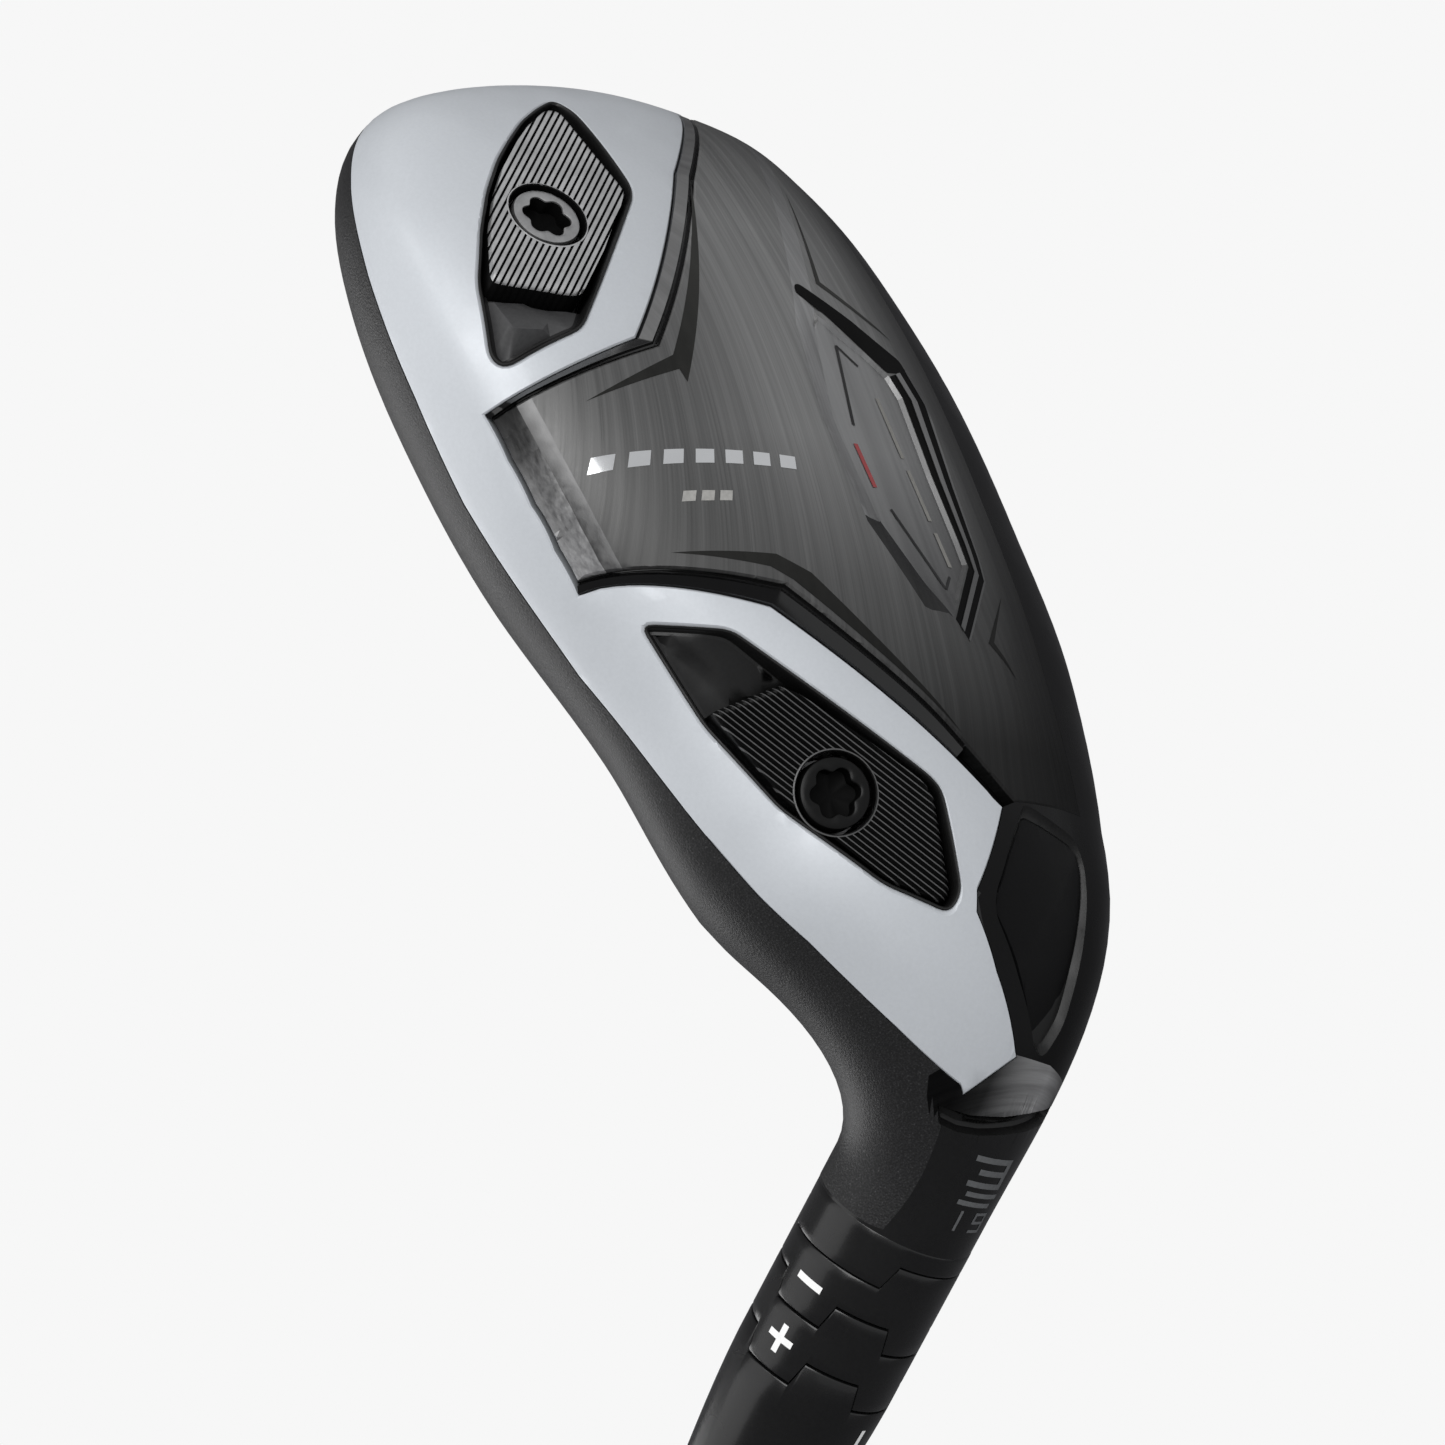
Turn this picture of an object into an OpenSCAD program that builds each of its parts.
// Adjustable hybrid golf club, right-handed, number 3.
// Frame: +Z up, ground at z = 0 in the address position, -X toward the toe,
// +X toward the heel, the face looks toward -Y, the rear of the head is +Y.
// Origin: the point where the hosel axis meets the ground.

/* [Club] */
// Lie angle of the hosel axis above the ground
lie = 59; // [57:0.5:61]
// Loft of the face
loft = 19; // [16:1:22]
// Length of the club along the hosel axis
club_len = 1029; // [940:1:1060]

/* [Shaft and grip] */
// Radius of the parallel shaft tip
tip_r = 4.7; // [4.6:0.05:4.75]
// Radius of the shaft at the butt
butt_r = 7.6; // [7.2:0.1:8]
// Length of the grip
grip_len = 267; // [250:1:280]
// Radius of the grip at its mouth
grip_mouth_r = 10.0; // [9.6:0.1:10.6]
// Radius of the grip at the butt
grip_butt_r = 13.2; // [12.8:0.1:14]
// Radius of the vent hole in the grip cap
vent_r = 1.7; // [1.2:0.1:2]

/* [Hosel and adapter] */
// Outer radius of the hosel and of both cogs
hosel_r = 7; // [7:0.05:7.2]
// Radius of the adapter inside the hosel
sleeve_r = 5.5; // [5.4:0.05:5.55]
// Height of the hosel teeth along the axis
tooth_h = 2.3; // [2:0.1:2.4]
// Pitch height of one cog
cog_h = 5.5; // [5.2:0.1:6]
// Radius of the adapter screw shank
bolt_r = 2.5; // [2.3:0.05:2.6]

/* [Head] */
// Shell thickness of the head body
wall = 2.2; // [2:0.1:2.6]
// Thickness of the sole panels
skin_t = 1.2; // [1:0.1:1.4]
// How far the sole plate stands proud of the panel
proud = 0.7; // [0.4:0.1:0.9]
// Thickness of the face
face_t = 2.0; // [1.8:0.1:2.4]

/* [Weights] */
// Depth of the weight ports below the sole
port_d = 7; // [6.5:0.1:7.5]
// Radius of the weight screw heads
wscrew_r = 3.25; // [3:0.05:3.4]
// Thickness of the weights
weight_t = 4.6; // [4:0.1:4.8]

/* [Hidden] */
$fn = 64;
gap = 0.05;                  // clearance between neighbouring parts
fit = 0.04;                  // radial clearance on the shaft and the threads

// Distances along the hosel axis from the ground
seat_s = 21.5;               // underside of the tube floor, where the screw head pulls
foot_s = 24.5;               // lower end of the adapter
neck_s = 33;                 // where the neck of the head is round
tip_s = 33.6;                // end of the shaft inside the adapter
hosel_s = 37.8;              // root of the hosel teeth
mid_cog_s = hosel_s + cog_h;
top_cog_s = mid_cog_s + cog_h;
collar_s = 66;               // top of the adapter collar
taper_s = 130;               // start of the shaft taper
shaft_s = club_len - 8;      // butt end of the shaft
grip_s = club_len - grip_len;
tape_s = grip_s + 4;         // lower end of the grip tape

// Radii round the hosel axis
bore_r = sleeve_r + gap;
tube_r = hosel_r - 0.75;     // hosel tube inside the head
tube_hole_r = tube_r + gap;
slot_r = tube_hole_r + gap;  // floor of the neck slot
washer_r = 4.2;
collar_r = 5.9;              // top of the adapter collar

// ---------- head surface: rows of the lines plan ----------
// Each row is one station, spaced by the square root of its distance from the toe.
// leading edge y, rear y, sole low point y, crown high point y,
// leading edge height, rear edge height, sole height, crown height
LINES = [
  [7, 7, 7, 7, 18, 18, 18, 18],
  [1.5, 17.5, 6.5, 8, 15.5, 18, 13.5, 22.5],
  [-2.5, 28, 6, 9.5, 13.5, 17.5, 10, 26],
  [-6.5, 38.5, 7, 12, 11, 17, 6.5, 29],
  [-9, 43.5, 8, 14, 8.5, 16, 4, 31],
  [-10.5, 44.5, 8, 15, 7, 15, 2, 32.5],
  [-12, 43, 8, 15, 6, 15, 0.5, 32.5],
  [-12.5, 38.5, 7.5, 13, 5.5, 16, 0, 32],
  [-12.5, 30.5, 5, 10, 5.5, 17, 0.5, 30],
  [-11, 22.5, 1.5, 4, 9, 18.5, 3, 29.5],
  [-7, 7, 0, 0, 16.2, 16.2, 9.2, 23.2]];
last_row = len(LINES) - 1;
toe_station = -82.5;
end_station = toe_station + last_row * last_row;
round_station = -14;         // where the section starts to turn round toward the neck
skin_end = end_station - 4;  // stations where the inner forms stop
face_end = end_station - 6;
hollow_end = 9;
rib_end = 8;
filling_end = 0;
pivot_reach = 25;            // distance from the fan pivot to the hosel axis
pivot_x = neck_s * cos(lie) - pivot_reach * sin(lie);
pivot_z = neck_s * sin(lie) + pivot_reach * cos(lie);
section_points = 44;
loft_steps = 22;

function clamp(value) = max(0, min(1, value));
function smooth(value) = let (t = clamp(value)) t * t * (3 - 2 * t);

// Cubic Hermite curve through the rows of LINES
function slope(row, column) =
  row == 0 ? LINES[1][column] - LINES[0][column]
  : row == last_row ? 0
  : (LINES[row + 1][column] - LINES[row - 1][column]) / 2;
function hermite(t, start, start_slope, end, end_slope) =
  (2 * t * t * t - 3 * t * t + 1) * start + (t * t * t - 2 * t * t + t) * start_slope
  + (3 * t * t - 2 * t * t * t) * end + (t * t * t - t * t) * end_slope;
function line_at(station, column) = let (
    place = sqrt(max(0, min(last_row * last_row, station - toe_station))),
    row = min(last_row - 1, floor(place)))
  hermite(place - row, LINES[row][column], slope(row, column),
    LINES[row + 1][column], slope(row + 1, column));

// Superellipse coordinate from mid out to edge; its exponent turns to 2 as neck goes to 1
function bulge(mid, edge, ratio, exponent, neck) =
  mid + (edge - mid) * pow(abs(ratio), 2 / (exponent + (2 - exponent) * neck));

// One point of the section at a station, moved inward by inset: [y, height]
function section_point(station, angle, inset) = let (
    neck = smooth((station - round_station) / (end_station - round_station)),
    front_y = line_at(station, 0) + inset,
    rear_y = line_at(station, 1) - inset,
    sole_y = line_at(station, 2),
    crown_y = line_at(station, 3),
    front_z = line_at(station, 4),
    rear_z = line_at(station, 5),
    sole_z = min(line_at(station, 6) + inset, front_z - 0.2),
    crown_z = line_at(station, 7) - inset,
    c = cos(angle),
    s = sin(angle),
    lean = tan(loft) * (1 - neck),
    face_z = bulge(front_z, crown_z, s, 2.6, neck),
    face_y = bulge(crown_y - lean * (crown_z - front_z), front_y, c, 5, neck)
      + lean * (face_z - front_z))
  s >= 0
  ? (c < 0 ? [face_y, face_z]
    : [bulge(crown_y, rear_y, c, 2, neck), bulge(rear_z, crown_z, s, 2.2, neck)])
  : (c < 0 ? [bulge(sole_y, front_y, c, 2.2, neck), bulge(front_z, sole_z, s, 2, neck)]
    : [bulge(sole_y, rear_y, c, 2.1, neck), bulge(rear_z, sole_z, s, 1.75, neck)]);

// Section planes stand upright along the head, then fan round the pivot to face along the hosel
function place_point(station, point) = let (
    turn = lie * clamp((station - pivot_x) / (end_station - pivot_x)),
    radius = pivot_z - point[1])
  [min(station, pivot_x) + radius * sin(turn), point[0], pivot_z - radius * cos(turn)];
function section(station, inset) = [for (j = [0:section_points - 1])
  place_point(station, section_point(station, -180 + 360 * j / section_points, inset))];

// Solid head form, inset inside the outer surface, lofted from the toe to the last station
module form(inset = 0, last = end_station) {
  root_start = inset < 1 ? 0.2 : inset < 2 ? 1.1 : sqrt(inset);
  root_end = sqrt(last - toe_station);
  function station(i) =
    toe_station + pow(root_start + (root_end - root_start) * i / loft_steps, 2);
  n = section_points;
  for (i = [0:loft_steps - 1]) hull()
    polyhedron(
      concat(section(station(i), inset), section(station(i + 1), inset)),
      concat([[for (j = [0:n - 1]) j]], [[for (j = [n - 1:-1:0]) n + j]],
        [for (j = [0:n - 1]) let (k = (j + 1) % n) each [[j, n + j, n + k], [j, n + k, k]]]));
}

// ---------- outlines in plan (x, y) ----------
// Where the panel meets the plate, from the toe front to the neck tip
PANEL_EDGE = [[-80, 3], [-76.5, 8.5], [-64, 19], [-44.5, 31.5], [-41, 40], [-26.5, 34.5],
  [-21, 24.5], [-7.5, 11], [-3.5, 7], [3, 10.3], [4.5, 10.2], [8.5, 7.7], [14, 3.4], [16, 6.4]];
// Edges of the plate along the two trims
TOE_EDGE = [[-79, 1.5], [-74.5, 8], [-61.5, 17.8], [-43, 29.8], [-39.2, 38.8]];
HEEL_EDGE = [[-28.2, 34.2], [-22.3, 23.6], [-8.4, 10.1]];
TOE_TRIM = concat(TOE_EDGE, [for (i = [4:-1:0]) PANEL_EDGE[i]]);
HEEL_TRIM = concat(HEEL_EDGE, [for (i = [7:-1:5]) PANEL_EDGE[i]]);
PLATE = concat(TOE_EDGE, HEEL_EDGE, [[-4, 5.5], [-4, -3.5], [-74, -3.5]]);
// Hexagon sunk in the sole plate
HEXAGON = [[-48.7, 11.8], [-38, 14.5], [-28, 14.6], [-19.4, 9.6], [-25.3, 3.4], [-44, 3.2]];
// Leaf-shaped cover under the hosel
LEAF = [[-4, 4.6], [-1.6, -1.6], [0.4, -2.4], [3, -2.4], [7, -1.9], [12, -1], [14, 0.4],
  [13.6, 1.8], [9.3, 5.4], [4.8, 8.6], [3.2, 8.7], [-0.4, 7]];
// Upper limit of the sole panel, in side outline (x, z)
PARTING = [[-90, 17.5], [-66, 18], [-57, 19], [-46, 19.7], [-37, 20.7], [-22, 20.7], [-11, 19],
  [-1.5, 17.6], [3, 16.7], [17, 15.6], [17, -5], [-90, -5]];

// ---------- weight ports ----------
TOE = 0;
HEEL = 1;
// Each list holds the toe port, then the heel port.
// Local origin under the screw on the sole, local z points into the head
PORT_PLACE = [[-57.5, 34.5, 6.4], [-6.2, 20.2, 8.6]];
PORT_TILT = [21, 40.4];
PORT_AZIMUTH = [-72, -121.7];
// Local outlines (x, y) of the ports and of the weights in them
PORT_RIM = [
  [[-15.2, -7.3], [-13.5, -8.4], [-3.5, -9.3], [-2, -8.8], [11.8, 1.2], [13.4, 7.6],
    [12.2, 8.5], [6, 8.1], [1.2, 6.5], [-5.8, 2.4]],
  [[-14.8, 13.8], [-13.6, 7], [-0.6, -8], [0.6, -8.8], [8.8, -9.2], [10.3, -8],
    [7.6, -2.8], [0.8, 4.6], [-6.3, 9.6]]];
WEIGHT_OUTLINE = [
  [[-11.4, -5.0], [-9.8, -7.0], [-3.6, -7.9], [-2.2, -7.5], [9.2, 0.6], [6.6, 7.0],
    [1.2, 5.4], [-5, 1.4]],
  [[-6.2, 8.2], [-8.2, 3.2], [-0.4, -6.6], [8.4, -7.6], [6.4, -3], [0.6, 3.6]]];
liner_t = 0.6;
insert_r = 3.6;
thread_r = 2.0;
weight_low = 0.5;            // outer face of the weight, inward of the sole's tangent plane
weight_high = weight_low + weight_t;

// ---------- shared shapes ----------
module on_hosel(s = 0) rotate([0, 90 - lie, 0]) translate([0, 0, s]) children();
module turned(profile) on_hosel() rotate_extrude() polygon(profile);
module ring(inner, outer, low, high) translate([0, 0, low]) difference() {
  cylinder(r = outer, h = high - low);
  translate([0, 0, -1]) cylinder(r = inner, h = high - low + 2);
}
module at_port(side)
  translate(PORT_PLACE[side])
    rotate([0, 0, PORT_AZIMUTH[side]])
      rotate([0, PORT_TILT[side], 0])
        rotate([0, 0, -PORT_AZIMUTH[side]]) children();
module rounded(points, r) hull() for (p = points) translate(p) circle(r, $fn = 24);
// Upright prism on a plan outline, from below the ground
module prism(h) translate([0, 0, -20]) linear_extrude(h) children();
// Six-lobed drive recess
module lobed_recess(r, h) {
  cylinder(r = r * 0.74, h = h);
  for (i = [0:5]) rotate([0, 0, 60 * i]) translate([r * 0.72, 0, 0]) cylinder(r = r * 0.26, h = h);
}

// ---------- hosel teeth ----------
// Number of teeth in a ring, half width at the tooth tip
TWO_TEETH = [2, 4.9];
FOUR_TEETH = [4, 2.45];
tooth_angle = 85;            // first tooth round the hosel axis
tooth_flare = 0.22;          // widening of each flank per unit of height
tooth_sink = 0.5;            // overlap below the root
module teeth(set, root, h, grow = 0) {
  tip = set[1] + grow;
  base = set[1] + h * tooth_flare + grow;
  for (i = [0:set[0] - 1]) rotate([0, 0, tooth_angle + 360 * i / set[0]])
    translate([0, 0, root]) rotate([90, 0, 90]) translate([0, 0, 2]) linear_extrude(8)
      polygon([[-base, -1], [base, -1], [base, 0], [tip, h + grow], [-tip, h + grow], [-base, 0]]);
}
module standing_teeth(set, root) intersection() {
  ring(bore_r, hosel_r, root - tooth_sink, root + 4);
  teeth(set, root, tooth_h);
}
module tooth_notches(set, root) teeth(set, root - tooth_sink, tooth_h + tooth_sink, gap);
// Cog with notches for the ring of teeth below and four teeth on top
module cog(root, teeth_below) on_hosel() difference() {
  union() {
    ring(bore_r, hosel_r, root + gap, root + cog_h);
    standing_teeth(FOUR_TEETH, root + cog_h);
  }
  tooth_notches(teeth_below, root);
}

// ---------- shaft and grip ----------
tip_wall = 1.9;
taper_wall = 1.7;
butt_wall = 1.1;
tape_t = 0.3;
tape_gap = 0.02;
grip_bore = tape_t + fit;    // clearance of the grip over the shaft
grip_top = shaft_s - 0.2;
mouth_step = 0.8;            // how much the grip profile starts inside its mouth radius
function shaft_r(s) =
  s < taper_s ? tip_r : tip_r + (butt_r - tip_r) * (s - taper_s) / (shaft_s - taper_s);

module shaft() color([0.11, 0.11, 0.12]) turned([
  [tip_r - tip_wall, tip_s], [tip_r, tip_s], [tip_r, taper_s],
  [butt_r, shaft_s], [butt_r - butt_wall, shaft_s], [tip_r - taper_wall, taper_s]]);
module grip_tape() color([0.8, 0.78, 0.7]) turned([
  [shaft_r(tape_s) + tape_gap, tape_s], [shaft_r(tape_s) + tape_t, tape_s],
  [butt_r + tape_t, shaft_s], [butt_r + tape_gap, shaft_s]]);
module grip() color([0.1, 0.1, 0.1]) {
  mouth_r = shaft_r(grip_s);
  start_r = grip_mouth_r - mouth_step;
  turned(concat(
    [[mouth_r + 0.1, grip_s + 0.2], [mouth_r + 1.0, grip_s], [mouth_r + 2.0, grip_s + 1.2]],
    [for (i = [0:12]) let (t = i / 12)
      [start_r + (grip_butt_r - start_r) * pow(t, 1.25), tape_s + (grip_top - tape_s) * t]],
    [[butt_r + grip_bore, grip_top], [shaft_r(tape_s) + grip_bore, tape_s - 0.1],
      [mouth_r + 0.1, tape_s - 0.2]]));
}
module grip_cap() color([0.09, 0.09, 0.09]) turned([
  [vent_r, shaft_s + 0.1], [grip_butt_r, shaft_s + 0.1],
  [grip_butt_r + 1.2, club_len - 5.6], [grip_butt_r + 1.2, club_len - 3],
  [grip_butt_r + 0.4, club_len - 1], [grip_butt_r - 1.6, club_len], [vent_r, club_len]]);
module ferrule() color([0.07, 0.07, 0.07]) turned([
  [tip_r + fit, collar_s + gap], [collar_r, collar_s + gap], [5.75, 70], [5.4, 76],
  [tip_r + 0.35, 80], [tip_r + fit, 80]]);
module tip_plug() color([0.75, 0.6, 0.3])
  on_hosel(tip_s + 1) cylinder(r = tip_r - tip_wall - gap, h = 10);

// ---------- hosel and adapter ----------
// Adapter: stem inside the hosel, notched collar above the cogs, tapered top, foot for the screw
module shaft_sleeve() color([0.1, 0.1, 0.1]) {
  on_hosel() {
    ring(bolt_r + fit, sleeve_r, foot_s, tip_s - 0.1);
    ring(tip_r + fit, sleeve_r, tip_s - 0.2, top_cog_s + 1);
  }
  difference() {
    turned([[tip_r + fit, top_cog_s + gap], [hosel_r, top_cog_s + gap],
      [hosel_r, top_cog_s + 2.9], [6.75, 57], [collar_r, collar_s], [tip_r + fit, collar_s]]);
    on_hosel() tooth_notches(FOUR_TEETH, top_cog_s);
  }
}
module upper_cog() color([0.09, 0.09, 0.09]) cog(mid_cog_s, FOUR_TEETH);
module lower_cog() color([0.08, 0.08, 0.08]) cog(hosel_s, TWO_TEETH);
// Hosel tube: bore for the adapter and a floor for the screw head
module hosel_tube() color([0.08, 0.08, 0.08]) on_hosel() {
  ring(bore_r, tube_r, seat_s, neck_s + 0.1);
  ring(bore_r, hosel_r, neck_s + gap, hosel_s);
  standing_teeth(TWO_TEETH, hosel_s);
  ring(bolt_r + 0.3, tube_r, seat_s, foot_s - 0.5);
}
module hosel_screw() color([0.2, 0.2, 0.21]) {
  head_r = 3.9;
  head_h = 3.4;
  chamfer = 0.4;
  shank_s = seat_s - 1.1;
  head_s = shank_s - head_h;
  on_hosel() difference() {
    union() {
      translate([0, 0, head_s - chamfer]) cylinder(r1 = head_r - chamfer, r2 = head_r, h = chamfer);
      translate([0, 0, head_s]) cylinder(r = head_r, h = head_h);
      translate([0, 0, shank_s]) cylinder(r = bolt_r, h = 12.1);
    }
    translate([0, 0, head_s - chamfer - 0.3]) lobed_recess(2.6, 2.9);
  }
}
module hosel_washer() color([0.7, 0.7, 0.72])
  on_hosel() ring(bolt_r + gap, washer_r, seat_s - 1.05, seat_s - gap);
module screw_retainer() color([0.15, 0.15, 0.15])
  on_hosel() ring(bolt_r + 0.02, washer_r, foot_s - 0.44, foot_s - 0.06);

// ---------- regions that divide the head ----------
module panel_area() polygon(concat(PANEL_EDGE, [[30, 30], [0, 60], [-100, 60], [-100, 3]]));
module panel_region(grow = 0) intersection() {
  translate([0, 100, 0]) rotate([90, 0, 0]) linear_extrude(200) polygon(PARTING);
  prism(60) offset(delta = grow) panel_area();
}
module port_hole(side, grow = 0) at_port(side)
  translate([0, 0, -6]) linear_extrude(port_d + 6 + grow)
    offset(delta = grow) rounded(PORT_RIM[side], 0.5);
module port_holes(grow) {
  port_hole(TOE, grow);
  port_hole(HEEL, grow);
}
module leaf_region(grow = 0) prism(40) offset(delta = grow)
  rounded([for (p = LEAF) p * 0.97 + [0.15, 0.09]], 0.3);
// Slot round the heel side of the neck, inward to radius r
module slot_region(r, grow = 0) on_hosel() intersection() {
  ring(r, 12, 22.4 - grow, 24.9 + grow);
  hull() {
    translate([3.2 - grow, -20, 20]) cube([20, 40, 6]);
    translate([3.6 - grow, -20, 20]) cube([20, 40, 6.2]);
  }
}
// Everything in front of the face seam
module face_region(grow = 0)
  translate([-74 - grow, 0, 0]) rotate([90, 0, 90]) linear_extrude(66 + 2 * grow)
    polygon([[-40, -10], [-5 + grow, -10], [2.5 + grow, 45], [-40, 45]]);
// Everything inside the sole skin
module skin_core(inset = 0) form(skin_t + inset, skin_end);
// Room in the head body for the panel, the plate and the trims
module sole_recess() intersection() {
  union() {
    panel_region(gap);
    for (outline = [PLATE, TOE_TRIM, HEEL_TRIM]) prism(35) offset(delta = gap) polygon(outline);
  }
  difference() {
    translate([-100, -30, -20]) cube([140, 100, 60]);
    skin_core(gap);
  }
}

// ---------- head parts ----------
module crown_ribs() intersection() {
  difference() {
    form(wall - 0.2, rib_end);
    form(wall + 1.2, rib_end);
  }
  for (i = [0:5]) translate([-66 + 9 * i, 0, 20]) hull() {
    cube([1.2, 36, 14]);
    translate([0.1, 0, 0]) cube([1, 37, 14]);
  }
}
module head_body() color([0.13, 0.13, 0.14]) {
  difference() {
    form();
    form(wall, hollow_end);
    on_hosel(seat_s - gap) rotate(2) cylinder(r = tube_hole_r, h = 30, $fn = 60);
    // screw port below the tube, narrowed to the leaf outline in the outer layer
    intersection() {
      on_hosel(-4) cylinder(r = 4.6, h = 30);
      union() {
        form(1.2);
        leaf_region(-0.4);
      }
    }
    face_region(gap);
    sole_recess();
    port_holes(liner_t + 0.06);
    difference() {
      leaf_region(gap);
      form(1.5);
    }
    slot_region(slot_r, gap);
  }
  crown_ribs();
}
module face_cup() color([0.1, 0.1, 0.1]) intersection() {
  difference() {
    form();
    form(face_t, face_end);
  }
  face_region();
}
module sole_panel() color([0.62, 0.65, 0.69]) difference() {
  intersection() {
    form();
    panel_region();
  }
  skin_core();
  on_hosel(8) cylinder(r = tube_hole_r, h = 40);
  port_holes(liner_t + 0.03);
  leaf_region(0.1);
  slot_region(4, 0.1);
}
// Piece of the sole skin on a plan outline, raised above the head surface, cut off at the ground
module sole_piece(outline, raised) difference() {
  intersection() {
    form(-raised);
    prism(35) offset(delta = -gap) polygon(outline);
    translate([-100, -50, 0]) cube([200, 200, 60]);
  }
  skin_core();
  face_region(gap);
}
module hexagon_line() for (i = [0:5]) hull() {
  translate(HEXAGON[i]) circle(0.55, $fn = 12);
  translate(HEXAGON[(i + 1) % 6]) circle(0.55, $fn = 12);
}
// Plate with a sunk hexagon and a deeper groove round it
module sole_plate() color([0.2, 0.2, 0.21]) difference() {
  sole_piece(PLATE, proud);
  difference() {
    prism(34) hexagon_line();
    form(0.4);
  }
  difference() {
    prism(34) polygon(HEXAGON);
    form(0.1);
  }
}
module toe_trim() color([0.04, 0.04, 0.04]) sole_piece(TOE_TRIM, 0.2);
module heel_trim() color([0.04, 0.04, 0.04]) sole_piece(HEEL_TRIM, 0.2);
module port_cover() color([0.06, 0.06, 0.06]) intersection() {
  difference() {
    form(0.5);
    form(1.4);
  }
  leaf_region();
}
module neck_insert() color([0.12, 0.12, 0.12]) intersection() {
  form(0.3);
  slot_region(slot_r + gap);
}
// Dense mass low behind the face
module inner_mass() color([0.45, 0.45, 0.47]) intersection() {
  form(wall + 0.1, filling_end);
  hull() {
    translate([-60, -7, 0]) cube([36, 10, 7]);
    translate([-56, -7, 0]) cube([28, 12.5, 5]);
  }
}
// Cast damping block in the toe
module damping_block() color([0.3, 0.5, 0.6]) intersection() {
  form(wall + 0.1, filling_end);
  hull() {
    translate([-74, 2, 6]) cube([11, 12, 12]);
    translate([-73, 3, 6]) cube([9, 10, 14]);
  }
}

// ---------- port liners and weights: block, captive screw, clip ----------
// Liner: a cup that follows the sole at its rim
module liner(side) difference() {
  intersection() {
    port_hole(side, liner_t);
    form(0.1);
  }
  port_hole(side);
  at_port(side) cylinder(r = insert_r + gap, h = 20);
}
// Threaded insert behind the port
module insert() translate([0, 0, port_d - 0.1]) difference() {
  cylinder(r = insert_r, h = 5);
  translate([0, 0, -1]) cylinder(r = thread_r + fit, h = 5.4);
}
module block(side) at_port(side) difference() {
  translate([0, 0, weight_low]) linear_extrude(weight_t) rounded(WEIGHT_OUTLINE[side], 0.5);
  translate([0, 0, weight_low - 1]) cylinder(r = wscrew_r + 0.15, h = 3.6);
  cylinder(r = thread_r + 0.15, h = 10);
  translate([0, 0, weight_high - 0.9]) cylinder(r = 3.3, h = 2);
}
module screw(side) at_port(side) difference() {
  union() {
    translate([0, 0, weight_low - 0.1]) cylinder(r = wscrew_r, h = 2.6);
    translate([0, 0, weight_low + 2.4]) cylinder(r = thread_r, h = 8.2);
  }
  translate([0, 0, weight_low - 0.4]) lobed_recess(2.1, 2.2);
}
module clip(side) at_port(side) translate([0, 0, weight_high - 0.8]) difference() {
  cylinder(r = 3.2, h = 0.6);
  translate([0, 0, -1]) cylinder(r = thread_r + 0.03, h = 3);
}
module toe_port() color([0.05, 0.05, 0.05]) liner(TOE);
module heel_port() color([0.05, 0.05, 0.05]) liner(HEEL);
module weight_inserts() color([0.7, 0.66, 0.5]) {
  at_port(TOE) insert();
  at_port(HEEL) insert();
}
module toe_weight() color([0.55, 0.56, 0.58]) block(TOE);
module toe_screw() color([0.35, 0.35, 0.37]) screw(TOE);
module toe_clip() color([0.2, 0.2, 0.2]) clip(TOE);
module heel_weight() color([0.06, 0.06, 0.06]) block(HEEL);
module heel_screw() color([0.1, 0.1, 0.1]) screw(HEEL);
module heel_clip() color([0.2, 0.2, 0.2]) clip(HEEL);

shaft();
grip();
grip_cap();
grip_tape();
ferrule();
shaft_sleeve();
tip_plug();
upper_cog();
lower_cog();
hosel_tube();
head_body();
face_cup();
sole_panel();
sole_plate();
toe_trim();
heel_trim();
toe_port();
heel_port();
weight_inserts();
port_cover();
neck_insert();
inner_mass();
damping_block();
hosel_screw();
hosel_washer();
screw_retainer();
toe_weight();
toe_screw();
toe_clip();
heel_weight();
heel_screw();
heel_clip();
